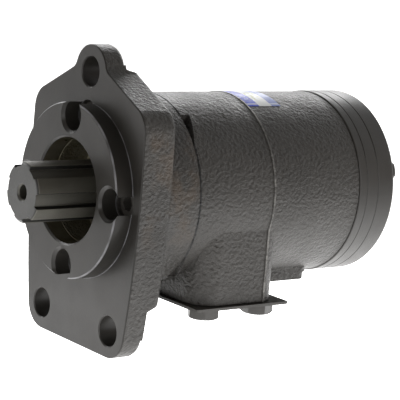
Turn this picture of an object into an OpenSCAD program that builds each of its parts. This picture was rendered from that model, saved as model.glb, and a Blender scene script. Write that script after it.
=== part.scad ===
// Orbit hydraulic motor: a three-bolt flange piece, a spool-valve housing and a roller gear set.
// +X points out of the motor along its shaft and +Z is up. The origin is the centre of the round
// spigot, in the plane of the flange's mounting face. All sizes are in millimetres.

/* [Mounting flange] */
// Radius of the spigot that centres the motor in its seat
pilot_r = 50.8; // [50.4:0.1:51]
// How far the spigot stands out of the mounting face
pilot_h = 11.2; // [9:0.1:12]
// Radius of the open recess round the shaft
recess_r = 30.6; // [30:0.1:31.2]
// Thickness of the flange between its bolt ears
flange_t = 22; // [20:0.5:24]
// Thickness of the three bolt ears
ear_t = 14; // [13:0.5:16]
// Radius of the three mounting bolt holes
mount_hole_r = 8.75; // [8:0.05:9]
// Height of the top mounting hole above the shaft
top_hole_z = 68.4; // [68:0.1:69]
// Sideways distance of each lower mounting hole from the shaft
low_hole_y = 35.4; // [35:0.1:36]
// Depth of the lower mounting holes below the shaft
low_hole_drop = 75.2; // [74.8:0.1:75.6]

/* [Housing] */
// Radius of the round cast housing
body_r = 56.4; // [56:0.1:57]
// Distance from the mounting face to the joint between flange piece and housing
joint_x = 43; // [42:0.5:44]
// Distance from the mounting face to the rear end of the housing
body_end = 164.5; // [160:0.5:170]
// Distance from the mounting face to the middle of the port block
port_mid = 80; // [79:0.5:81]
// Distance from the shaft down to the port face
port_drop = 61.8; // [61:0.1:63]
// Full width of the port block
block_w = 107; // [105:0.5:109]

/* [Rear sections] */
// Radius of the distributor plate, the roller ring and the end cover
pack_r = 57; // [56.6:0.1:57.6]
// Thickness of the distributor plate
plate_t = 5.9; // [5:0.1:7]
// Thickness of the roller ring, which sets the displacement
ring_t = 9; // [8.5:0.1:10]
// Thickness of the end cover
cover_t = 13.4; // [12:0.1:15]

/* [Gear set] */
// Number of rollers; the star has one lobe less
rollers = 7; // [7:1:7]
// Distance between the star's axis and the motor's axis
orbit_r = 3; // [2.9:0.05:3]
// Radius of each roller
roller_r = 8.6; // [8.5:0.05:8.6]
// Radius of the circle through the roller centres
roller_circle = 37.5; // [37.5:0.1:37.8]

/* [Shaft] */
// Distance of the shaft's end from the mounting face
shaft_tip = 40.5; // [38:0.5:45]
// Outer radius of the six-tooth output spline
spline_r = 17.45; // [17:0.05:17.6]
// Width of each parallel-sided spline tooth
spline_tooth_w = 8.7; // [8:0.1:9]
// Radius of the centre hole in the shaft's end
centre_hole_r = 4.25; // [3.5:0.05:5]

/* [Hidden] */
$fn = 96;
cut = 1; // how far a cutting solid runs past the face that it opens

// flange outline
side_bow_r = 600; // the two long sides bow outwards with this radius
side_bow_z = 16; // height at which the flange is widest
flange_half_w = 58;
shoulder_slope = 26.2; // fall of the shoulders beside the top ear, in degrees
shoulder_reach = 70; // distance from the shaft to each shoulder line
shoulder_corner_r = 15;
ear_r = 15.6;
ear_fillet_r = 8;
face_chamfer = 0.35;
pilot_chamfer = 0.8;
back_round = 3;
top_spot_r = 16; // clear seats for a bolt head or nut behind the ears
low_spot_r = 22.5;
joint_chamfer = 0.6; // narrow groove that shows where two casings meet
bolt_head_room_r = 15;
bolt_head_back_x = -26;

side_centre = [flange_half_w - side_bow_r, side_bow_z];
foot = [low_hole_y, -low_hole_drop];
foot_r = side_bow_r - norm(foot - side_centre);
foot_angle = atan2(foot.y - side_centre.y, foot.x - side_centre.x);
shoulder_angle = 90 - shoulder_slope;
shoulder_normal = [cos(shoulder_angle), sin(shoulder_angle)];
shoulder_run = [shoulder_normal.y, -shoulder_normal.x];
ear = [0, top_hole_z];
corner_start = shoulder_normal * (shoulder_reach - shoulder_corner_r) - side_centre;
corner_b = corner_start * shoulder_run;
corner_c = corner_start * corner_start - pow(side_bow_r - shoulder_corner_r, 2);
corner_t = sqrt(corner_b * corner_b - corner_c) - corner_b;
corner = side_centre + corner_start + corner_t * shoulder_run;
corner_angle = atan2(corner.y - side_centre.y, corner.x - side_centre.x);
fillet_out = shoulder_reach + ear_fillet_r - ear * shoulder_normal;
fillet_along = sqrt(pow(ear_r + ear_fillet_r, 2) - fillet_out * fillet_out);
fillet = ear + fillet_out * shoulder_normal + fillet_along * shoulder_run;
fillet_angle = atan2(fillet.y - ear.y, fillet.x - ear.x);
MOUNT_HOLES = [ear, foot, [-foot.x, foot.y]];

// screws that hold the flange piece on the housing
screw_circle = 43.4;
screw_r = 5;
screw_head_r = 8;
screw_head_h = 10;
screw_pocket_r = 8.8;
screw_mouth_r = 10.5;
screw_seat_x = -12;
screw_end_x = -65;

// stack along the shaft, from the flange to the rear
recess_floor_x = -20;
seal_r = 26;
seal_front_x = -24;
seal_back_x = -31;
snap_front_x = -21.5;
snap_back_x = -22.9;
bush_front_x = -32.5;
bush_back_x = -39;
bush_r = 22.5;
thrust_r = 30;
thrust_pocket_r = 31;
thrust_pocket_end = -51;
thrust_washer_t = 1;
spline_back_x = -10;
spline_root_r = 15;
spline_angle = 21.4;
centre_hole_depth = 25;
journal_front_x = -14;
journal_r = 19;
collar_r = 28;
collar_front_x = -43.55;
collar_back_x = -50.5;
spool_bore_r = 25;
running_gap = 0.03;
spool_end_x = -148;
link_hole_r = 16;
plate_x = -body_end - plate_t;
ring_x = plate_x - ring_t;
cover_x = ring_x - cover_t;

// oil ways
gallery_r = 29.5;
gallery_half = 4;
spool_groove_half = 3.5;
spool_groove_depth = 2.6;
gallery_a_x = -66;
gallery_b_x = -96;
window_x = -81;
window_half = 3;
passage_r = 2.6;
passage_end_x = -77.2;
window_r = 2.3;
passage_circle = 33;
spool_slots = 12;
slot_w = 4;
port_r = 8.5;
PORTS = [[-68, 15], [-94, -15]];
port_roof_z = -34;
port_way_top_z = -22;
port_way_r = 3.4;
port_ring_r = 11.2;
port_ring_wire = 1;

// rear bolts
bolt_circle = 45;
bolt_r = 4;
bolt_hole_r = 4.4;
bolt_across = 13;
bolt_head_h = 5.3;
bolt_angle = 16;
bolt_washer_t = 1.2;
bolt_washer_r = 7.2;
bolt_end_x = -144;
lobe_step = 360 / rollers;
roller_angle = bolt_angle + lobe_step / 2;
ring_bore_r = 36;
roller_seat_gap = 0.05;
roller_dimple_r = 3;
side_gap = 0.03; // play at each side face of the star and rollers
cover_round = 1.8;

// port block, its shipping plate and the drain pad
block_len = 60;
block_corner_r = 15;
cover_plate_len = 68.2;
cover_plate_w = 112.6;
cover_plate_t = 1.6;
cover_plate_corner_r = 1.5;
cover_plate_shift = 1.1;
port_bolt_x = 20;
port_bolt_y = 45;
port_bolt_r = 5;
port_bolt_across = 17;
port_bolt_head_h = 6.4;
port_bolt_depth = 16;
pad_front_x = -110;
pad_back_x = -152.5;
pad_half_w = 28;
pad_drop = 56.9;
pad_corner_r = 6;
pad_step = 1.2; // the cast root of the pad stands out past its machined foot
pad_foot_h = 4.6;
drain_x = -130;
drain_y = 14.5;
drain_thread_r = 6.6;
drain_thread_depth = 12;
drain_way_r = 4.5;
drain_spot_r = 10;
drain_spot_depth = 4;
drain_washer_t = 1;
bead_x = -97.5;
bead_w = 1.2;
bead_h = 0.35;
relief_depth = 6.5; // cast wedge-shaped reliefs in the housing's front edge
relief_start_z = 32;
relief_end_z = 47.5;
relief_inner_y = 30;

// spline joints of the drive link
link_teeth = 12;
link_tip_r = 12;
link_root_r = 10.2;
link_body_r = 9.6;
link_tooth_half = 5.5; // half of a link tooth, in degrees
socket_minor_r = 10.9;
socket_major_r = 12.6;
socket_groove_half = 8; // half of a socket groove, in degrees
link_front_x = -72;
link_back_x = -173.2;
link_front_half = 7;
link_back_half = 3.7;
socket_front_x = -62;
socket_back_x = -82;
link_cavity_r = 14.5;
link_tilt = asin(orbit_r / (link_front_x - link_back_x));
spacer_r = 10.4;
spacer_t = 2;

// name label on the top of the housing
label_front_x = -98.6;
label_back_x = -123;
label_from = 65;
label_span = 45;
label_t = 0.15;

// face seals between the sections
face_ring_r = 52;
face_ring_wire = 1;
flange_ring_r = 34.5;

// Points of an arc about a centre; the last one is left to the next arc
function arc(centre, radius, from, to, steps) =
    [for (i = [0:steps - 1]) let (a = from + (to - from) * i / steps)
        centre + radius * [cos(a), sin(a)]];

// Right half of the flange outline, set in by a distance, from the foot up to the ear's top
function half_outline(inset) = concat(
    arc(foot, foot_r - inset, -90, foot_angle, 14),
    arc(side_centre, side_bow_r - inset, foot_angle, corner_angle, 10),
    arc(corner, shoulder_corner_r - inset, corner_angle, shoulder_angle, 9),
    arc(fillet, ear_fillet_r + inset, shoulder_angle + 180, fillet_angle + 180, 8),
    arc(ear, ear_r - inset, fillet_angle, 90, 14),
    [ear + [0, ear_r - inset]]);

function flange_outline(inset) =
    let (half = half_outline(inset))
    concat(half, [for (i = [len(half) - 2:-1:0]) [-half[i].x, half[i].y]]);

// Stations [x, inset] that chamfer the front edge and round the back edge of a plate
function plate_stations(front, back, chamfer, round_r) = concat(
    [[front, chamfer], [front - chamfer, 0]],
    [for (a = [0:22.5:90]) [back + round_r * (1 - sin(a)), round_r * (1 - cos(a))]]);

// The star's profile: rollers of one more lobe rolled round an epitrochoid
star_gap = 0.06;
star_points = 288;
function star_point(a) =
    let (wave = [cos(rollers * a), sin(rollers * a)])
    let (way = [cos(a), sin(a)])
    let (across = rollers * orbit_r * wave + roller_circle * way)
    orbit_r * wave + roller_circle * way - (roller_r + star_gap) * across / norm(across);

// Outline of a straight-sided spline; each tooth spans an angle of twice half
function spline_outline(tip, root, half, teeth) =
    [for (i = [0:teeth - 1]) let (a = i * 360 / teeth)
        each [root * [cos(a - half - 2), sin(a - half - 2)], tip * [cos(a - half), sin(a - half)],
            tip * [cos(a), sin(a)],
            tip * [cos(a + half), sin(a + half)], root * [cos(a + half + 2), sin(a + half + 2)]]];

// Stands a flat shape up across the motor: its x is the motor's Y, its y is the motor's Z
module facing(x) {
    translate([x, 0, 0]) rotate([90, 0, 90]) children();
}

module disc(front, back, radius) {
    facing(back) cylinder(r = radius, h = front - back);
}

module cone(front, back, front_r, back_r) {
    facing(back) cylinder(r1 = back_r, r2 = front_r, h = front - back);
}

module washer(front, back, outer, inner) {
    difference() {
        disc(front, back, outer);
        disc(front + cut, back - cut, inner);
    }
}

// A ring of round section, like an O-ring
module round_ring(x, radius, wire) {
    facing(x) rotate_extrude() translate([radius, 0]) circle(r = wire, $fn = 32);
}

// Copies its children round the motor's axis
module round_axis(count, first) {
    for (i = [0:count - 1]) rotate([first + i * 360 / count, 0, 0]) children();
}

module loft(stations) {
    rings = [for (s = stations) [for (p = flange_outline(s[1])) [s[0], p.x, p.y]]];
    n = len(rings[0]);
    last = len(rings) - 1;
    sides = [for (k = [0:last - 1], i = [0:n - 1])
        [k * n + i, k * n + (i + 1) % n, (k + 1) * n + (i + 1) % n, (k + 1) * n + i]];
    caps = [[for (i = [n - 1:-1:0]) i], [for (i = [0:n - 1]) last * n + i]];
    polyhedron(points = [for (r = rings, p = r) p], faces = concat(sides, caps), convexity = 6);
}

module hex_head(across, height) {
    corner = across / sqrt(3);
    flat_top_r = 0.47 * across;
    slope = tan(30);
    intersection() {
        cylinder(r = corner, h = height, $fn = 6);
        cylinder(r1 = flat_top_r + height / slope, r2 = flat_top_r, h = height);
    }
}

module spool_slot(from, to) {
    translate([to, -slot_w / 2, spool_bore_r - spool_groove_depth])
        cube([from - to, slot_w, spool_groove_depth + cut]);
}

// Groove for an O-ring in a face at x; into is +1 where the metal lies on the shaft side
module face_ring_groove(x, radius, wire, into) {
    facing(x) rotate_extrude()
        translate([radius - wire - 0.25, into > 0 ? -cut : -2 * wire])
            square([2 * wire + 0.5, 2 * wire + cut]);
}

// ---- casings ----

// Bevels the back edge of an ear whose outline is an arc, in two steps
module ear_back_bevel(radius, from, span) {
    spare = 2; // degrees left uncut at each end of the arc
    facing(-ear_t) rotate([0, 0, from + spare]) rotate_extrude(angle = span - 2 * spare)
        polygon([[radius - 2.3, -cut], [radius - 2.3, 0], [radius - 0.8, 0.8],
            [radius + 0.4, 3.4], [radius + 2, 3.4], [radius + 2, -cut]]);
}

module mounting_flange() {
    color([0.10, 0.10, 0.11])
    difference() {
        union() {
            loft(plate_stations(0, -flange_t, face_chamfer, back_round));
            disc(-ear_t, joint_chamfer - joint_x, body_r);
            cone(joint_chamfer - joint_x, -joint_x, body_r, body_r - joint_chamfer);
            disc(pilot_h - pilot_chamfer, -ear_t, pilot_r);
            cone(pilot_h, pilot_h - pilot_chamfer, pilot_r - pilot_chamfer, pilot_r);
        }
        for (h = MOUNT_HOLES) translate([0, h.x, h.y]) {
            disc(cut, -flange_t - cut, mount_hole_r);
            cone(0.01, -0.6, mount_hole_r + 0.6, mount_hole_r);
        }
        translate([0, ear.x, ear.y]) {
            cone(-ear_t, -flange_t - 0.1, top_spot_r, top_spot_r + 1.5);
            disc(-ear_t, bolt_head_back_x, bolt_head_room_r);
            ear_back_bevel(ear_r, fillet_angle, 180 - 2 * fillet_angle);
        }
        for (side = [-1, 1]) translate([0, side * foot.x, foot.y]) {
            cone(-ear_t, -flange_t - 0.1, low_spot_r, low_spot_r + 3);
            ear_back_bevel(foot_r, side > 0 ? -90 : 180 - foot_angle, 90 + foot_angle);
        }
        disc(pilot_h + cut, recess_floor_x, recess_r);
        cone(pilot_h + 0.01, pilot_h - 1, recess_r + 1, recess_r);
        disc(recess_floor_x + cut, seal_back_x, seal_r);
        disc(snap_front_x, snap_back_x, seal_r + 1.8);
        disc(0, -joint_x - cut, journal_r + 1);
        disc(bush_front_x, -joint_x - cut, bush_r);
        disc(bush_back_x, -joint_x - cut, thrust_pocket_r);
        round_axis(4, 0) translate([0, screw_circle, 0]) {
            disc(pilot_h + cut, screw_seat_x, screw_pocket_r);
            cone(pilot_h + 0.01, pilot_h - 1.7, screw_mouth_r, screw_pocket_r);
            disc(screw_seat_x + cut, -joint_x - cut, screw_r + 0.3);
        }
        face_ring_groove(-joint_x, flange_ring_r, face_ring_wire, 1);
    }
}

module port_block() {
    flat_half = block_w / 2 - block_corner_r;
    flat_len = block_len - 2 * block_corner_r;
    translate([-port_mid, 0, -port_drop / 2]) {
        cube([block_len, 2 * flat_half, port_drop], center = true);
        cube([flat_len, block_w, port_drop], center = true);
    }
    for (sx = [-1, 1], sy = [-1, 1])
        translate([-port_mid + sx * flat_len / 2, sy * flat_half, -port_drop])
            cylinder(r = block_corner_r, h = port_drop);
}

module pad_block(grow, bottom, top) {
    flat_back = pad_back_x + pad_corner_r;
    flat_half = pad_half_w - pad_corner_r;
    corner_r = pad_corner_r + grow;
    translate([flat_back, -flat_half - corner_r, bottom])
        cube([pad_front_x - flat_back, 2 * (flat_half + corner_r), top - bottom]);
    translate([flat_back - corner_r, -flat_half, bottom])
        cube([2 * corner_r, 2 * flat_half, top - bottom]);
    for (side = [-1, 1]) translate([flat_back, side * flat_half, bottom])
        cylinder(r = corner_r, h = top - bottom);
}

module drain_pad() {
    pad_block(0, -pad_drop, -pad_drop / 2);
    pad_block(pad_step, pad_foot_h - pad_drop, -pad_drop / 2);
}

// Raised line left by the joint of the casting mould
module parting_bead() {
    disc(bead_x + bead_w / 2, bead_x - bead_w / 2, body_r + bead_h);
    translate([bead_x - bead_w / 2, -block_w / 2 - bead_h, -port_drop])
        cube([bead_w, block_w + 2 * bead_h, port_drop]);
}

// Wedge-shaped hollow across one shoulder of the housing's front edge
module front_relief(side, level) {
    translate([0, side > 0 ? relief_inner_y + body_r : -relief_inner_y, 0])
        rotate([90, 0, 0]) linear_extrude(body_r)
            polygon([[cut - joint_x, level * relief_start_z], [-joint_x, level * relief_start_z],
                [-joint_x - relief_depth, level * relief_end_z],
                [cut - joint_x, level * relief_end_z]]);
}

module housing_shape() {
    cone(-joint_x, -joint_x - joint_chamfer, body_r - joint_chamfer, body_r);
    disc(-joint_x - joint_chamfer, joint_chamfer - body_end, body_r);
    cone(joint_chamfer - body_end, -body_end, body_r, body_r - joint_chamfer);
    port_block();
    drain_pad();
    parting_bead();
}

module oil_ways() {
    for (x = [gallery_a_x, gallery_b_x]) disc(x + gallery_half, x - gallery_half, gallery_r);
    for (i = [0:1]) {
        way_x = i == 0 ? gallery_a_x : gallery_b_x;
        translate([PORTS[i][0], PORTS[i][1], -port_drop]) {
            translate([0, 0, -cut]) cylinder(r = port_r, h = port_drop + port_roof_z + cut);
            rotate_extrude() translate([port_ring_r - port_ring_wire - 0.25, -cut])
                square([2 * port_ring_wire + 0.5, 2 * port_ring_wire + cut]);
        }
        translate([way_x, PORTS[i][1], port_roof_z - cut])
            cylinder(r = port_way_r, h = port_way_top_z - port_roof_z + cut);
    }
    round_axis(rollers, bolt_angle) {
        translate([0, passage_circle, 0])
            disc(passage_end_x, -body_end - cut, passage_r);
        translate([window_x, spool_bore_r - cut, 0]) rotate([-90, 0, 0])
            cylinder(r = window_r, h = passage_circle - spool_bore_r + cut);
    }
}

module main_housing() {
    color([0.09, 0.09, 0.10])
    difference() {
        housing_shape();
        for (side = [-1, 1], level = [-1, 1]) front_relief(side, level);
        disc(cut - joint_x, thrust_pocket_end, thrust_pocket_r);
        disc(0, -body_end - cut, spool_bore_r);
        oil_ways();
        round_axis(4, 0) translate([0, screw_circle, 0])
            disc(0, screw_end_x - 2, screw_r + 0.05);
        round_axis(rollers, bolt_angle) translate([0, bolt_circle, 0])
            disc(bolt_end_x + 2, -body_end - cut, bolt_r + 0.05);
        for (sx = [-1, 1], sy = [-1, 1])
            translate([sx * port_bolt_x - port_mid, sy * port_bolt_y, -port_drop - cut])
                cylinder(r = port_bolt_r + 0.05, h = port_bolt_depth + 2 + cut);
        translate([drain_x, drain_y, -pad_drop - cut]) {
            cylinder(r = drain_spot_r, h = drain_spot_depth + cut);
            cylinder(r = drain_thread_r + 0.05, h = drain_spot_depth + drain_thread_depth + cut);
            cylinder(r = drain_way_r, h = pad_drop - journal_r);
        }
        face_ring_groove(-body_end, face_ring_r, face_ring_wire, 1);
    }
}

module distributor_plate() {
    color([0.16, 0.16, 0.17])
    difference() {
        section(-body_end, plate_x);
        disc(0, plate_x - cut, link_hole_r);
        round_axis(rollers, bolt_angle) translate([0, passage_circle, 0])
            disc(0, plate_x - cut, passage_r);
        face_ring_groove(plate_x, face_ring_r, face_ring_wire, 1);
    }
}

// One of the round rear sections, with its bolt holes
module section(front, back) {
    edge = 0.45;
    difference() {
        union() {
            cone(front, front - edge, pack_r - edge, pack_r);
            disc(front - edge, back + edge, pack_r);
            cone(back + edge, back, pack_r, pack_r - edge);
        }
        round_axis(rollers, bolt_angle) translate([0, bolt_circle, 0])
            disc(front + cut, back - cut, bolt_hole_r);
    }
}

module roller_ring() {
    color([0.20, 0.20, 0.21])
    difference() {
        section(plate_x, ring_x);
        disc(0, ring_x - cut, ring_bore_r);
        round_axis(rollers, roller_angle) translate([0, roller_circle, 0])
            disc(0, ring_x - cut, roller_r + roller_seat_gap);
    }
}

module end_cover() {
    color([0.14, 0.14, 0.15])
    difference() {
        intersection() {
            section(ring_x, cover_x);
            union() {
                disc(ring_x + cut, cover_x + cover_round, pack_r + cut);
                facing(cover_x + cover_round) rotate_extrude()
                    intersection() {
                        translate([pack_r - cover_round, 0]) circle(r = cover_round, $fn = 48);
                        translate([0, -cover_round]) square([pack_r, cover_round]);
                    }
                disc(cover_x + cover_round + 0.01, cover_x, pack_r - cover_round);
            }
        }
        face_ring_groove(ring_x, face_ring_r, face_ring_wire, -1);
    }
}

// ---- moving pieces ----

module output_spline() {
    tip_chamfer = 1;
    intersection() {
        union() {
            disc(shaft_tip, spline_back_x, spline_root_r);
            round_axis(6, spline_angle)
                translate([spline_back_x, 0, -spline_tooth_w / 2])
                    cube([shaft_tip - spline_back_x, spline_r + cut, spline_tooth_w]);
        }
        union() {
            cone(shaft_tip, shaft_tip - tip_chamfer, spline_r - 1.4 * tip_chamfer, spline_r);
            disc(shaft_tip - tip_chamfer, spline_back_x, spline_r);
        }
    }
}

module output_shaft() {
    spool_r = spool_bore_r - running_gap;
    color([0.22, 0.22, 0.23])
    difference() {
        union() {
            output_spline();
            cone(spline_back_x, journal_front_x, spline_root_r, journal_r);
            disc(journal_front_x, collar_front_x, journal_r);
            disc(collar_front_x, collar_back_x, collar_r);
            disc(collar_back_x, spool_end_x, spool_r);
        }
        disc(shaft_tip + cut, shaft_tip - centre_hole_depth, centre_hole_r);
        cone(shaft_tip + 0.01, shaft_tip - 1.2, centre_hole_r + 1.2, centre_hole_r);
        for (x = [gallery_a_x, gallery_b_x])
            washer(x + spool_groove_half, x - spool_groove_half, spool_bore_r + cut,
                spool_bore_r - spool_groove_depth);
        washer(drain_x + 5, drain_x - 5, spool_bore_r + cut, spool_bore_r - 1);
        translate([drain_x, 0, 0]) cylinder(r = 2.5, h = 4 * spool_bore_r, center = true);
        round_axis(spool_slots / 2, 0)
            spool_slot(gallery_a_x, window_x - window_half);
        round_axis(spool_slots / 2, 180 / (spool_slots / 2))
            spool_slot(window_x + window_half, gallery_b_x);
        disc(socket_back_x, spool_end_x - cut, link_cavity_r);
        rotate([roller_angle, 0, 0]) link_socket(socket_front_x, socket_back_x - cut);
    }
}

module link_socket(front, back) {
    facing(back) linear_extrude(front - back)
        polygon(spline_outline(socket_major_r, socket_minor_r, socket_groove_half, link_teeth));
}

module link_crown(x, half) {
    facing(x - half) linear_extrude(2 * half)
        polygon(spline_outline(link_tip_r, link_root_r, link_tooth_half, link_teeth));
}

module drive_link() {
    span = link_front_x - link_back_x;
    color([0.45, 0.45, 0.47])
    translate([link_front_x, 0, 0]) rotate([roller_angle, 0, 0]) rotate([0, 0, link_tilt]) {
        link_crown(0, link_front_half);
        link_crown(-span, link_back_half);
        disc(link_front_half - 1, -span, link_body_r);
    }
}

module star_rotor() {
    color([0.55, 0.55, 0.57])
    rotate([roller_angle, 0, 0]) translate([0, -orbit_r, 0])
        difference() {
            facing(ring_x + side_gap) linear_extrude(ring_t - 2 * side_gap)
                polygon([for (i = [0:star_points - 1]) star_point(i * 360 / star_points)]);
            link_socket(plate_x + cut, ring_x - cut);
        }
}

module drive_spacer() {
    color([0.40, 0.40, 0.42])
    rotate([roller_angle, 0, 0]) translate([0, -orbit_r, 0])
        disc(ring_x + side_gap + spacer_t, ring_x + side_gap, spacer_r);
}

module roller(i) {
    color([0.60, 0.60, 0.62])
    rotate([roller_angle + (i - 1) * lobe_step, 0, 0]) translate([0, roller_circle, 0])
        difference() {
            disc(plate_x - side_gap, ring_x + side_gap, roller_r);
            disc(plate_x, plate_x - 1, roller_dimple_r);
        }
}

module roller_1() { roller(1); }
module roller_2() { roller(2); }
module roller_3() { roller(3); }
module roller_4() { roller(4); }
module roller_5() { roller(5); }
module roller_6() { roller(6); }
module roller_7() { roller(7); }

// ---- seals, bush and thrust bearing round the shaft ----

module shaft_seal() {
    lip = journal_r + 0.03;
    color([0.07, 0.07, 0.07])
    facing(0) rotate_extrude()
        polygon([[lip, seal_front_x - 2.4], [lip + 1.3, seal_front_x - 0.6],
            [seal_r - 3, seal_front_x], [seal_r - 0.03, seal_front_x],
            [seal_r - 0.03, seal_back_x], [seal_r - 2, seal_back_x],
            [seal_r - 2, seal_front_x - 2.2], [lip + 2.6, seal_front_x - 2.2],
            [lip + 1.4, seal_front_x - 5], [lip, seal_front_x - 3.4]]);
}

module seal_backup_washer() {
    color([0.35, 0.35, 0.36])
    washer(snap_back_x - 0.03, seal_front_x + 0.03, seal_r - 0.1, journal_r + 0.5);
}

module seal_snap_ring() {
    ear_circle = seal_r - 3.4;
    color([0.25, 0.25, 0.26])
    difference() {
        union() {
            difference() {
                washer(snap_front_x - 0.04, snap_back_x + 0.04, seal_r + 1.7, seal_r - 2.4);
                translate([0, 0, -seal_r]) cube([100, 9, 12], center = true);
            }
            for (side = [-1, 1]) translate([0, side * 6.2, -sqrt(pow(ear_circle, 2) - 38)])
                disc(snap_front_x - 0.04, snap_back_x + 0.04, 2.3);
        }
        for (side = [-1, 1]) translate([0, side * 6.2, -sqrt(pow(ear_circle, 2) - 38)])
            disc(0, snap_back_x - cut, 1);
    }
}

module front_bush() {
    color([0.66, 0.48, 0.22])
    washer(bush_front_x, bush_back_x, bush_r, journal_r + 0.05);
}

module front_thrust_washer() {
    color([0.55, 0.55, 0.57])
    washer(bush_back_x - 0.02, bush_back_x - 0.02 - thrust_washer_t, thrust_r, journal_r + 0.3);
}

module thrust_needle_cage() {
    needle_r = 1.2;
    cage_x = (bush_back_x + collar_front_x) / 2;
    color([0.62, 0.62, 0.64]) {
        washer(cage_x + 0.7, cage_x - 0.7, thrust_r - 0.5, journal_r + 0.5);
        round_axis(20, 0) translate([cage_x, journal_r + 1.8, 0]) rotate([-90, 0, 0])
            cylinder(r = needle_r, h = thrust_r - journal_r - 3.8);
    }
}

module rear_thrust_washer() {
    color([0.55, 0.55, 0.57])
    washer(collar_front_x + 0.02 + thrust_washer_t, collar_front_x + 0.02, thrust_r,
        journal_r + 0.3);
}

module flange_o_ring() {
    color([0.06, 0.06, 0.06])
    round_ring(face_ring_wire - joint_x, flange_ring_r, face_ring_wire);
}

module housing_o_ring() {
    color([0.06, 0.06, 0.06])
    round_ring(face_ring_wire - body_end, face_ring_r, face_ring_wire);
}

module plate_o_ring() {
    color([0.06, 0.06, 0.06])
    round_ring(plate_x + face_ring_wire, face_ring_r, face_ring_wire);
}

module cover_o_ring() {
    color([0.06, 0.06, 0.06])
    round_ring(ring_x - face_ring_wire, face_ring_r, face_ring_wire);
}

// ---- fasteners ----

module flange_screws() {
    key_r = 4 / cos(30);
    color([0.12, 0.12, 0.13])
    round_axis(4, 0) translate([0, screw_circle, 0])
        difference() {
            union() {
                cone(screw_seat_x + screw_head_h, screw_seat_x + screw_head_h - 0.8,
                    screw_head_r - 0.8, screw_head_r);
                disc(screw_seat_x + screw_head_h - 0.8, screw_seat_x, screw_head_r);
                disc(screw_seat_x, screw_end_x, screw_r);
            }
            facing(screw_seat_x + screw_head_h / 2)
                cylinder(r = key_r, h = screw_head_h, $fn = 6);
        }
}

module cover_bolts() {
    head_x = cover_x - bolt_washer_t;
    color([0.15, 0.15, 0.16])
    round_axis(rollers, bolt_angle) translate([0, bolt_circle, 0]) {
        disc(bolt_end_x, head_x, bolt_r);
        translate([head_x, 0, 0]) rotate([0, -90, 0]) hex_head(bolt_across, bolt_head_h);
    }
}

module cover_bolt_washers() {
    color([0.50, 0.50, 0.50])
    round_axis(rollers, bolt_angle) translate([0, bolt_circle, 0])
        washer(cover_x, cover_x - bolt_washer_t, bolt_washer_r, bolt_r + 0.1);
}

module port_cover_plate() {
    flat = 2 * cover_plate_corner_r;
    color([0.12, 0.12, 0.13])
    translate([-port_mid - cover_plate_shift, 0, -port_drop - cover_plate_t])
        difference() {
            union() {
                translate([0, 0, cover_plate_t / 2]) {
                    cube([cover_plate_len, cover_plate_w - flat, cover_plate_t], center = true);
                    cube([cover_plate_len - flat, cover_plate_w, cover_plate_t], center = true);
                }
                for (sx = [-1, 1], sy = [-1, 1])
                    translate([sx * (cover_plate_len - flat) / 2,
                        sy * (cover_plate_w - flat) / 2, 0])
                        cylinder(r = cover_plate_corner_r, h = cover_plate_t);
            }
            for (sx = [-1, 1], sy = [-1, 1])
                translate([sx * port_bolt_x + cover_plate_shift, sy * port_bolt_y, -cut])
                    cylinder(r = port_bolt_r + 0.5, h = cover_plate_t + 2 * cut);
        }
}

module port_o_rings() {
    color([0.06, 0.06, 0.06])
    for (p = PORTS) translate([p[0], p[1], port_ring_wire - port_drop])
        rotate_extrude() translate([port_ring_r, 0]) circle(r = port_ring_wire, $fn = 32);
}

module port_cover_bolts() {
    turns = [0, 24, 23, 40];
    color([0.12, 0.12, 0.13])
    for (i = [0:3]) {
        sx = i < 2 ? 1 : -1;
        sy = i % 2 == 0 ? 1 : -1;
        translate([sx * port_bolt_x - port_mid, sy * port_bolt_y, -port_drop - cover_plate_t]) {
            cylinder(r = port_bolt_r, h = port_bolt_depth);
            rotate([180, 0, turns[i]]) hex_head(port_bolt_across, port_bolt_head_h);
        }
    }
}

module drain_plug() {
    top_z = drain_spot_depth - drain_washer_t;
    color([0.30, 0.30, 0.31])
    translate([drain_x, drain_y, -pad_drop]) difference() {
        union() {
            translate([0, 0, 0.2]) cylinder(r = drain_spot_r - 0.7, h = top_z - 0.2);
            translate([0, 0, top_z]) cylinder(r = drain_thread_r, h = drain_thread_depth);
        }
        translate([0, 0, -cut]) cylinder(r = 3 / cos(30), h = 5 + cut, $fn = 6);
    }
}

module drain_plug_washer() {
    color([0.70, 0.40, 0.25])
    translate([drain_x, drain_y, drain_spot_depth - drain_washer_t - pad_drop]) difference() {
        cylinder(r = drain_spot_r - 0.5, h = drain_washer_t);
        translate([0, 0, -cut]) cylinder(r = drain_thread_r + 0.1, h = drain_washer_t + 2 * cut);
    }
}

module name_label() {
    color([0.80, 0.80, 0.78])
    facing(label_back_x) rotate([0, 0, label_from]) rotate_extrude(angle = label_span)
        translate([body_r, 0]) square([label_t, label_front_x - label_back_x]);
}

mounting_flange();
main_housing();
distributor_plate();
roller_ring();
end_cover();
output_shaft();
drive_link();
star_rotor();
drive_spacer();
roller_1();
roller_2();
roller_3();
roller_4();
roller_5();
roller_6();
roller_7();
shaft_seal();
seal_backup_washer();
seal_snap_ring();
front_bush();
front_thrust_washer();
thrust_needle_cage();
rear_thrust_washer();
flange_o_ring();
housing_o_ring();
plate_o_ring();
cover_o_ring();
flange_screws();
cover_bolts();
cover_bolt_washers();
port_cover_plate();
port_o_rings();
port_cover_bolts();
drain_plug();
drain_plug_washer();
name_label();
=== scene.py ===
import bpy
from mathutils import Matrix, Vector


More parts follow.
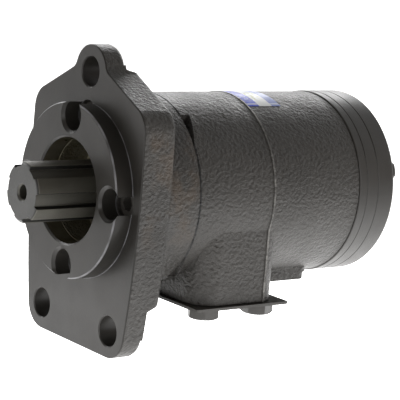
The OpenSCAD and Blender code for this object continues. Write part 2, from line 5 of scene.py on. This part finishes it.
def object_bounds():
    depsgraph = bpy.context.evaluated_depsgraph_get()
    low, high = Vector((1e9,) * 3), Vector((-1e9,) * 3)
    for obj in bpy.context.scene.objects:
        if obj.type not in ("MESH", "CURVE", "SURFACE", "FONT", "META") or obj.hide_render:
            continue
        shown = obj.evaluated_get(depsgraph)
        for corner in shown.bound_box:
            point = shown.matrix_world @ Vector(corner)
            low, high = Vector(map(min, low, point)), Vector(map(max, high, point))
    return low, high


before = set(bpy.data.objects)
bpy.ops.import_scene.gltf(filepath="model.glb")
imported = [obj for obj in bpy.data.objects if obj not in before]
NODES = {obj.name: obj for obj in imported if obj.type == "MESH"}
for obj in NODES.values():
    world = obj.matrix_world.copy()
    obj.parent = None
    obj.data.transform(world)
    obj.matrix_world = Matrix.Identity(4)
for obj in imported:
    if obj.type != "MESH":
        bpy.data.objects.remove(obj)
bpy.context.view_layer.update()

# Places and sizes on the motor, in metres along its own axes: X out along the shaft, Z up.
SHAFT_TIP_X = 0.0405
SPLINE_R = 0.01745
SPLINE_ROOT_R = 0.0150
PILOT_R = 0.0508
PILOT_FRONT_X = 0.0112
RECESS_R = 0.0306
MOUNT_HOLE_R = 0.00875
MOUNT_HOLES_YZ = [(0, 0.0684), (0.0354, -0.0752), (-0.0354, -0.0752)]
JOINT_X = -0.0430
PARTING_X = -0.0975
PORT_FACE_Z = -0.0618
PITS_X = [-0.130, -0.160]
PIT_ACROSS_YZ = (0.530, 0.848)  # direction across the line from the axis out through the pits
LABEL_FRONT_X = -0.0986
LABEL_NEAR_ANGLE = 0.436  # radians from the top toward the camera


# ---- shader building ----

class Graph:
    """Adds nodes to one material, each as a single call."""

    def __init__(self, name):
        self.mat = bpy.data.materials.new(name)
        self.mat.use_nodes = True
        self.tree = self.mat.node_tree
        self.tree.nodes.clear()
        self.out = self.tree.nodes.new("ShaderNodeOutputMaterial")
        self.bsdf = self.tree.nodes.new("ShaderNodeBsdfPrincipled")
        self.link(self.bsdf.outputs["BSDF"], self.out.inputs["Surface"])
        self.coord = self.tree.nodes.new("ShaderNodeTexCoord").outputs["Object"]

    def link(self, a, b):
        self.tree.links.new(a, b)

    def put(self, socket, value):
        if isinstance(value, bpy.types.NodeSocket):
            self.link(value, socket)
        else:
            socket.default_value = value

    def noise(self, scale, detail=2.0, rough=0.5, stretch=(1, 1, 1)):
        m = self.tree.nodes.new("ShaderNodeMapping")
        self.link(self.coord, m.inputs["Vector"])
        m.inputs["Scale"].default_value = stretch
        n = self.tree.nodes.new("ShaderNodeTexNoise")
        self.link(m.outputs["Vector"], n.inputs["Vector"])
        n.inputs["Scale"].default_value = scale
        n.inputs["Detail"].default_value = detail
        n.inputs["Roughness"].default_value = rough
        return n.outputs["Fac"]

    def lumps(self, scale, smooth):
        v = self.tree.nodes.new("ShaderNodeTexVoronoi")
        self.link(self.coord, v.inputs["Vector"])
        v.feature = "SMOOTH_F1"
        v.inputs["Scale"].default_value = scale
        v.inputs["Smoothness"].default_value = smooth
        return v.outputs["Distance"]

    def math(self, op, a, b=0.0):
        n = self.tree.nodes.new("ShaderNodeMath")
        n.operation = op
        self.put(n.inputs[0], a)
        self.put(n.inputs[1], b)
        return n.outputs[0]

    def plus(self, a, b):
        return self.math("ADD", a, b)

    def times(self, first, *others):
        for other in others:
            first = self.math("MULTIPLY", first, other)
        return first

    def ramp(self, fac, low, high, to_low=0.0, to_high=1.0):
        n = self.tree.nodes.new("ShaderNodeMapRange")
        n.interpolation_type = "SMOOTHSTEP"
        self.put(n.inputs["Value"], fac)
        n.inputs["From Min"].default_value = low
        n.inputs["From Max"].default_value = high
        n.inputs["To Min"].default_value = to_low
        n.inputs["To Max"].default_value = to_high
        return n.outputs["Result"]

    def mix(self, fac, a, b):
        n = self.tree.nodes.new("ShaderNodeMix")
        n.data_type = "RGBA"
        self.put(n.inputs["Factor"], fac)
        self.put(n.inputs["A"], a)
        self.put(n.inputs["B"], b)
        return n.outputs["Result"]

    def xyz(self):
        s = self.tree.nodes.new("ShaderNodeSeparateXYZ")
        self.link(self.coord, s.inputs[0])
        return s.outputs[0], s.outputs[1], s.outputs[2]

    def radius(self, a, b, centre=(0.0, 0.0)):
        """Distance from a line along the third axis."""
        da = self.math("SUBTRACT", a, centre[0])
        db = self.math("SUBTRACT", b, centre[1])
        return self.math("SQRT", self.plus(self.times(da, da), self.times(db, db)))

    def line(self, value, middle, outer, inner):
        """1 within inner of the middle, fading to 0 at outer."""
        return self.ramp(self.math("ABSOLUTE", self.plus(value, -middle)), outer, inner)

    def bump(self, height, distance, strength):
        b = self.tree.nodes.new("ShaderNodeBump")
        b.inputs["Distance"].default_value = distance
        b.inputs["Strength"].default_value = strength
        self.put(b.inputs["Height"], height)
        return b.outputs["Normal"]

    def finish(self, **sockets):
        for name, value in sockets.items():
            self.put(self.bsdf.inputs[name.replace("_", " ")], value)
        return self.mat


def scaled(colour, k):
    return [c * k for c in colour[:3]] + [1]


# ---- castings ----

# Near black: painted shade in the flange-housing joint groove and in the casting pits.
PAINTED_SHADE_BLACK = (0.003, 0.003, 0.003, 1)
RUST = (0.066, 0.044, 0.026, 1)
# Light grey: worn paint on the pilot edges, and a painted highlight there as well.
WORN_EDGE_AND_HIGHLIGHT = (0.17, 0.17, 0.18, 1)
# Light grey: ground flash on the parting bead, and a painted highlight on it as well.
GROUND_FLASH_AND_HIGHLIGHT = (0.17, 0.165, 0.155, 1)
OIL_DARK = (0.115, 0.100, 0.058, 1)
OIL_LIGHT = (0.19, 0.175, 0.13, 1)


def machined_on_flange(g):
    """1 in front of the mounting face and in the mounting holes, 0 where it is as cast."""
    x, y, z = g.xyz()
    smooth = g.ramp(x, -0.0009, -0.0004)
    for centre in MOUNT_HOLES_YZ:
        bored = g.ramp(g.radius(y, z, centre), MOUNT_HOLE_R + 0.00045, MOUNT_HOLE_R + 0.00015)
        smooth = g.math("MAXIMUM", smooth, bored)
    return smooth


def machined_on_housing(g):
    """1 on the port face, 0 where the housing is as cast."""
    z = g.xyz()[2]
    return g.ramp(z, PORT_FACE_Z + 0.0008, PORT_FACE_Z + 0.0001)


def flange_details(g, colour, rough):
    """Rust round the rim at mid height, worn edges at the pilot that are also a painted highlight, oily
    bare steel in the recess.
    """
    x, y, z = g.xyz()
    reach = g.radius(y, z)
    blooms = g.times(g.ramp(g.noise(38.0, 4.0, 0.6), 0.44, 0.62), g.ramp(x, -0.002, -0.006))
    level = g.times(g.ramp(z, -0.030, -0.008), g.ramp(z, 0.046, 0.034))
    colour = g.mix(g.times(blooms, level, 0.6), colour, RUST)
    # Lighter lines at the pilot's rim chamfer and at its root: worn paint, and a painted highlight along
    # these edges.
    rim = g.times(g.ramp(reach, PILOT_R - 0.0009, PILOT_R - 0.0006),
                  g.ramp(x, PILOT_FRONT_X - 0.0010, PILOT_FRONT_X - 0.0007))
    root = g.times(g.ramp(reach, PILOT_R + 0.0005, PILOT_R + 0.0003),
                   g.ramp(x, 0.0005, 0.0002), g.ramp(x, -0.0004, -0.0001))
    patchy = g.ramp(g.noise(90.0, 3.0), 0.35, 0.6, 0.3, 1.0)
    colour = g.mix(g.times(g.math("MAXIMUM", rim, root), patchy, 0.8), colour, WORN_EDGE_AND_HIGHLIGHT)
    bare = g.times(g.ramp(reach, RECESS_R + 0.0006, RECESS_R + 0.0003),
                   g.ramp(x, PILOT_FRONT_X - 0.0011, PILOT_FRONT_X - 0.0017))
    oily = g.mix(g.ramp(g.noise(60.0, 3.0), 0.35, 0.65), OIL_DARK, OIL_LIGHT)
    return g.mix(bare, colour, oily), g.plus(rough, g.times(bare, -0.06)), g.times(bare, 0.8)


def housing_details(g, colour):
    """The ground-off parting flash, brighter than the paint and partly a painted highlight, and two
    casting pits on the near side, painted near black as shade in their hollows.
    """
    x, y, z = g.xyz()
    # Lighter band along the parting bead: paint ground off, and a painted highlight on the bead.
    flash = g.line(x, PARTING_X, 0.0007, 0.0005)
    patchy = g.ramp(g.noise(120.0, 3.0, 0.6), 0.40, 0.60, 0.25, 1.0)
    colour = g.mix(g.times(flash, patchy), colour, GROUND_FLASH_AND_HIGHLIGHT)
    across = g.plus(g.times(y, PIT_ACROSS_YZ[0]), g.times(z, PIT_ACROSS_YZ[1]))
    near_side = g.ramp(y, 0, 0.02)
    for pit_x in PITS_X:
        # Near-black spots: painted shade standing in for the hollows of two casting pits.
        pit_shade = g.ramp(g.radius(x, across, (pit_x, 0.0)), 0.0011, 0.0007)
        colour = g.mix(g.times(pit_shade, near_side, 0.9), colour, PAINTED_SHADE_BLACK)
    return colour


def cast_paint(name, dark, light, kind):
    """Satin paint over a rough casting, thinner over the machined parts of it."""
    g = Graph(name)
    smooth = machined_on_flange(g) if kind == "flange" else machined_on_housing(g)
    as_cast = g.ramp(smooth, 0.0, 1.0, 1.0, 0.03)
    blot = g.noise(11.0, 4.0, 0.6)

    grain = g.noise(500.0, 3.0, 0.6)
    grit = g.times(g.noise(1100.0, 2.0, 0.6), 0.32)
    relief = g.plus(g.plus(grain, g.times(g.lumps(400.0, 0.6), 0.4)), grit)
    fine = g.times(g.noise(1700.0, 2.0, 0.5), 0.05)
    height = g.plus(g.times(relief, as_cast), fine)

    colour = g.mix(g.ramp(blot, 0.35, 0.7), dark, light)
    # Darker in the low spots of the grain, which are the hollows of the bump: painted shade in the cast
    # texture.
    colour = g.mix(g.ramp(grain, 0.30, 0.46, 0.55, 0.0), colour, scaled(dark, 0.45))
    dust = g.ramp(g.noise(70.0, 5.0, 0.7), 0.58, 0.75)
    colour = g.mix(g.times(dust, 0.25, as_cast), colour, scaled(light, 2.0))
    thin = g.mix(g.ramp(blot, 0.3, 0.7), scaled(dark, 0.62), scaled(light, 0.62))
    colour = g.mix(smooth, colour, thin)
    # Near-black band at the flange-housing joint: painted shade in the groove between the two parts.
    joint_shade = g.line(g.xyz()[0], JOINT_X, 0.0010, 0.0006)
    colour = g.mix(g.times(joint_shade, 0.9), colour, PAINTED_SHADE_BLACK)

    rough = g.plus(g.ramp(g.noise(55.0, 3.0, 0.6), 0.3, 0.7, 0.37, 0.47), g.times(smooth, -0.05))
    metallic = 0.0
    if kind == "flange":
        colour, rough, metallic = flange_details(g, colour, rough)
    else:
        colour = housing_details(g, colour)
    return g.finish(Base_Color=colour, Roughness=rough, Metallic=metallic,
                    Specular_IOR_Level=g.ramp(smooth, 0.0, 1.0, 0.5, 0.28),
                    Normal=g.bump(height, 0.0011, 0.9))


# ---- other finishes ----

def turned_paint(name, dark, light):
    """Thin paint over fine turning marks that run round the motor's axis."""
    g = Graph(name)
    rings = g.noise(30.0, 3.0, 0.7, (80, 1, 1))
    height = g.plus(g.times(rings, 0.25), g.times(g.noise(1500.0, 2.0, 0.5), 0.10))
    colour = g.mix(g.ramp(g.noise(12.0, 4.0, 0.6), 0.35, 0.7), dark, light)
    colour = g.mix(g.ramp(rings, 0.55, 0.8, 0.0, 0.35), colour, scaled(light, 1.8))
    rough = g.ramp(g.noise(50.0, 3.0), 0.3, 0.7, 0.34, 0.43)
    return g.finish(Base_Color=colour, Roughness=rough, Normal=g.bump(height, 0.0004, 0.7))


def plain_paint(name, dark, light, rough):
    """Even paint with small light chips."""
    g = Graph(name)
    colour = g.mix(g.ramp(g.noise(22.0, 4.0, 0.6), 0.3, 0.7), dark, light)
    chips = g.ramp(g.noise(160.0, 5.0, 0.7), 0.66, 0.74)
    colour = g.mix(g.times(chips, 0.5), colour, scaled(light, 2.5))
    roughness = g.ramp(g.noise(60.0, 3.0), 0.3, 0.7, rough - 0.04, rough + 0.06)
    return g.finish(Base_Color=colour, Roughness=roughness,
                    Normal=g.bump(g.noise(800.0, 3.0, 0.5), 0.0002, 0.5))


def metal(name, colour, rough):
    """Bare metal with a fine finish and a slightly uneven tint."""
    g = Graph(name)
    grain = g.noise(900.0, 3.0, 0.6)
    tint = g.mix(g.ramp(g.noise(25.0, 4.0), 0.3, 0.7), scaled(colour, 0.75), scaled(colour, 1.0))
    roughness = g.ramp(grain, 0.3, 0.7, rough - 0.06, rough + 0.08)
    return g.finish(Base_Color=tint, Metallic=1.0, Roughness=roughness,
                    Normal=g.bump(grain, 0.00008, 0.5))


def phosphate(name):
    """Phosphated steel: worn bright on the spline's tips and partly a painted highlight there, near black
    on its flanks as painted shade, grey at its end.
    """
    g = Graph(name)
    x, y, z = g.xyz()
    reach = g.radius(y, z)
    crystals = g.noise(2600.0, 2.0, 0.6)
    blot = g.noise(60.0, 5.0, 0.65)
    colour = g.mix(g.ramp(blot, 0.3, 0.7), (0.018, 0.018, 0.016, 1), (0.034, 0.033, 0.030, 1))
    colour = g.mix(g.times(g.ramp(crystals, 0.55, 0.8), 0.5), colour, (0.08, 0.08, 0.075, 1))
    colour = g.mix(0.75, colour, (0.075, 0.072, 0.060, 1))
    # Near black on the tooth flanks: painted shade between the teeth.
    flanks = g.times(g.ramp(reach, SPLINE_ROOT_R + 0.0001, SPLINE_ROOT_R + 0.0004),
                     g.ramp(reach, SPLINE_R - 0.00025, SPLINE_R - 0.00055))
    colour = g.mix(g.times(flanks, 0.95), colour, (0.008, 0.008, 0.007, 1))
    # Lighter on the tooth tips: worn phosphate, and a painted highlight there as well.
    rub_and_highlight = g.ramp(blot, 0.25, 0.75, 0.7, 1.0)
    tips = g.times(g.ramp(reach, SPLINE_R - 0.00045, SPLINE_R - 0.00015), rub_and_highlight)
    colour = g.mix(g.times(tips, 0.8), colour, (0.090, 0.086, 0.072, 1))
    end = g.ramp(x, SHAFT_TIP_X - 0.0007, SHAFT_TIP_X - 0.0001)
    colour = g.mix(g.times(end, 0.9), colour, (0.058, 0.058, 0.057, 1))
    return g.finish(Base_Color=colour, Metallic=0.5, Roughness=g.ramp(blot, 0.3, 0.7, 0.34, 0.46),
                    Normal=g.bump(crystals, 0.0002, 0.5))


def rubber(name):
    g = Graph(name)
    n = g.noise(900.0, 3.0, 0.6)
    colour = g.mix(g.ramp(n, 0.3, 0.7), (0.012, 0.012, 0.012, 1), (0.022, 0.022, 0.021, 1))
    return g.finish(Base_Color=colour, Roughness=g.ramp(n, 0.3, 0.7, 0.5, 0.62),
                    Normal=g.bump(n, 0.0001, 0.5))


def print_label(name):
    """Film: blue field, white panel across the middle, pale blue end, marks that are not lettering."""
    g = Graph(name)
    x, y, z = g.xyz()
    angle = g.math("ARCTAN2", y, z)
    blue = g.mix(g.ramp(g.noise(300.0, 2.0), 0.3, 0.7), (0.006, 0.030, 0.42, 1), (0.015, 0.060, 0.60, 1))
    white = g.mix(g.noise(300.0), (0.62, 0.66, 0.68, 1), (0.74, 0.77, 0.76, 1))
    pale_blue = (0.16, 0.22, 0.52, 1)
    colour = g.mix(g.ramp(x, LABEL_FRONT_X - 0.0174, LABEL_FRONT_X - 0.0179), blue, pale_blue)
    panel = g.times(g.ramp(x, LABEL_FRONT_X - 0.0179, LABEL_FRONT_X - 0.0172),
                    g.ramp(x, LABEL_FRONT_X - 0.0076, LABEL_FRONT_X - 0.0083))
    colour = g.mix(panel, colour, white)
    hem = g.times(g.ramp(angle, LABEL_NEAR_ANGLE - 0.061, LABEL_NEAR_ANGLE - 0.051),
                  g.ramp(angle, LABEL_NEAR_ANGLE - 0.021, LABEL_NEAR_ANGLE - 0.031))
    colour = g.mix(g.times(hem, 0.5), colour, white)
    printed = g.times(g.ramp(angle, 0.08, 0.10), g.ramp(angle, 0.31, 0.29))
    strokes = g.ramp(g.noise(230.0, 2.0, 0.5, (3, 1, 1)), 0.50, 0.56)
    colour = g.mix(g.times(strokes, printed, panel, 0.75), colour, (0.40, 0.42, 0.10, 1))
    flecks = g.ramp(g.noise(420.0, 2.0, 0.5), 0.56, 0.62)
    colour = g.mix(g.times(flecks, printed, 0.25), colour, (0.55, 0.62, 0.75, 1))
    return g.finish(Base_Color=colour, Roughness=g.ramp(g.noise(90.0), 0.3, 0.7, 0.30, 0.42),
                    Specular_IOR_Level=0.2, Normal=g.bump(g.noise(500.0), 0.0001, 0.4))


# ---- which finish each part has ----

DARK = (0.026, 0.024, 0.021, 1)
LIGHT = (0.040, 0.037, 0.033, 1)
STEEL = metal("ground_steel", (0.55, 0.55, 0.56), 0.28)
RUBBER = rubber("black_rubber")
PLATED = metal("plated_steel", (0.36, 0.36, 0.35), 0.42)
BOLT = plain_paint("bolt_paint", scaled(DARK, 0.9), scaled(LIGHT, 1.1), 0.38)
TURNED = turned_paint("turned_paint", scaled(DARK, 0.85), scaled(LIGHT, 0.9))
finishes = {
    "mounting_flange": cast_paint("flange_paint", DARK, LIGHT, "flange"),
    "main_housing": cast_paint("housing_paint", DARK, LIGHT, "housing"),
    "distributor_plate": TURNED, "roller_ring": TURNED, "end_cover": TURNED,
    "output_shaft": phosphate("phosphated_steel"),
    "shaft_seal": RUBBER, "flange_o_ring": RUBBER, "housing_o_ring": RUBBER, "plate_o_ring": RUBBER,
    "cover_o_ring": RUBBER, "port_o_rings": RUBBER,
    "seal_backup_washer": PLATED, "seal_snap_ring": PLATED, "cover_bolt_washers": PLATED,
    "drain_plug": PLATED,
    "front_bush": metal("bush_bronze", (0.50, 0.33, 0.15), 0.35),
    "drain_plug_washer": metal("soft_copper", (0.62, 0.30, 0.17), 0.38),
    "flange_screws": BOLT, "cover_bolts": BOLT, "port_cover_bolts": BOLT,
    "port_cover_plate": plain_paint("sheet_paint", scaled(DARK, 0.95), scaled(LIGHT, 1.2), 0.4),
    "name_label": print_label("printed_film"),
}
for name, node in NODES.items():
    node.data.materials.clear()
    node.data.materials.append(finishes.get(name, STEEL))


# ---- camera ----

CAMERA_PLACE = (0.5247, 0.7879, 0.1642)
LOOK = Vector((-0.58835, -0.79160, -0.16497))
RIGHT = Vector((-0.80781, 0.58444, 0.07659))
ABOVE = Vector((-0.03578, -0.17833, 0.98332))
TURN_RIGHT = 0.01935
TURN_DOWN = 0.00847

cam_data = bpy.data.cameras.new("camera")
cam = bpy.data.objects.new("camera", cam_data)
bpy.context.scene.collection.objects.link(cam)
bpy.context.scene.camera = cam
aim = (LOOK + TURN_RIGHT * RIGHT - TURN_DOWN * ABOVE).normalized()
side = (RIGHT - RIGHT.dot(aim) * aim).normalized()
top = side.cross(aim).normalized()
turn = Matrix((side, top, -aim)).transposed().to_4x4()
cam.matrix_world = Matrix.Translation(CAMERA_PLACE) @ turn
cam_data.sensor_width = 36.0
cam_data.lens = 149.85
cam_data.clip_start = 0.01
cam_data.clip_end = 100.0


# ---- lights and floor ----

def area_light(name, place, target, size, power):
    data = bpy.data.lights.new(name, "AREA")
    data.shape = "RECTANGLE"
    data.size, data.size_y = size
    data.energy = power
    lamp = bpy.data.objects.new(name, data)
    bpy.context.scene.collection.objects.link(lamp)
    lamp.location = place
    lamp.rotation_euler = (Vector(target) - Vector(place)).to_track_quat("-Z", "Y").to_euler()


area_light("back_strip", (-0.45, -1.3, 0.75), (-0.08, 0, 0), (2.4, 0.5), 20)
area_light("edge_softbox", (1.25, 0.92, 0.30), (0, 0, 0), (0.40, 0.5), 4.5)

FLOOR_GAP = 0.0005
floor_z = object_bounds()[0][2] - FLOOR_GAP
bpy.ops.mesh.primitive_plane_add(size=40, location=(0, 0, floor_z))
floor = bpy.context.object
floor.name = "floor"
g = Graph("pale_floor")
ground_x, ground_y = g.xyz()[:2]
# A light table: brightest under the motor, so that its underside is lit as well.
glow = g.ramp(g.radius(ground_x, ground_y, (-0.12, 0.0)), 0.14, 0.40, 2.0, 0.66)
g.finish(Base_Color=g.mix(g.noise(0.5), (0.86, 0.86, 0.86, 1), (0.88, 0.88, 0.88, 1)), Roughness=0.8,
         Emission_Color=(1, 1, 1, 1), Emission_Strength=glow)
floor.data.materials.append(g.mat)


# ---- the world: a white tent, dark on the side where the camera stands and dimmer overhead ----

OPEN_SIDE = (0.50, 0.86, 0.0)
world = bpy.data.worlds.new("studio")
bpy.context.scene.world = world
world.use_nodes = True
wt = world.node_tree
wt.nodes.clear()


def wnode(kind, **inputs):
    n = wt.nodes.new(kind)
    for key, value in inputs.items():
        if isinstance(value, bpy.types.NodeSocket):
            wt.links.new(value, n.inputs[key])
        else:
            n.inputs[key].default_value = value
    return n


def wramp(value, low, high, to_low, to_high):
    n = wnode("ShaderNodeMapRange", Value=value)
    n.interpolation_type = "SMOOTHSTEP"
    n.inputs["From Min"].default_value = low
    n.inputs["From Max"].default_value = high
    n.inputs["To Min"].default_value = to_low
    n.inputs["To Max"].default_value = to_high
    return n.outputs["Result"]


way = wnode("ShaderNodeTexCoord").outputs["Generated"]
toward_open = wt.nodes.new("ShaderNodeVectorMath")
toward_open.operation = "DOT_PRODUCT"
wt.links.new(way, toward_open.inputs[0])
toward_open.inputs[1].default_value = OPEN_SIDE
tent = wramp(toward_open.outputs["Value"], -0.1, 0.68, 1.0, 0.10)
overhead = wramp(wnode("ShaderNodeSeparateXYZ", Vector=way).outputs["Z"], 0.25, 0.8, 1.0, 0.5)
power = wt.nodes.new("ShaderNodeMath")
power.operation = "MULTIPLY"
wt.links.new(tent, power.inputs[0])
wt.links.new(overhead, power.inputs[1])
tint = wt.nodes.new("ShaderNodeMix")
tint.data_type = "RGBA"
wt.links.new(tent, tint.inputs["Factor"])
tint.inputs["A"].default_value = (1.0, 0.76, 0.55, 1)
tint.inputs["B"].default_value = (1.0, 1.0, 1.0, 1)
seen = wnode("ShaderNodeBackground", Color=(1, 1, 1, 1), Strength=1.0)
lit = wnode("ShaderNodeBackground", Color=tint.outputs["Result"], Strength=power.outputs[0])
pick = wt.nodes.new("ShaderNodeMixShader")
wt.links.new(wnode("ShaderNodeLightPath").outputs["Is Camera Ray"], pick.inputs[0])
wt.links.new(lit.outputs[0], pick.inputs[1])
wt.links.new(seen.outputs[0], pick.inputs[2])
wt.links.new(pick.outputs[0], wt.nodes.new("ShaderNodeOutputWorld").inputs["Surface"])
bpy.context.scene.view_settings.view_transform = "Standard"
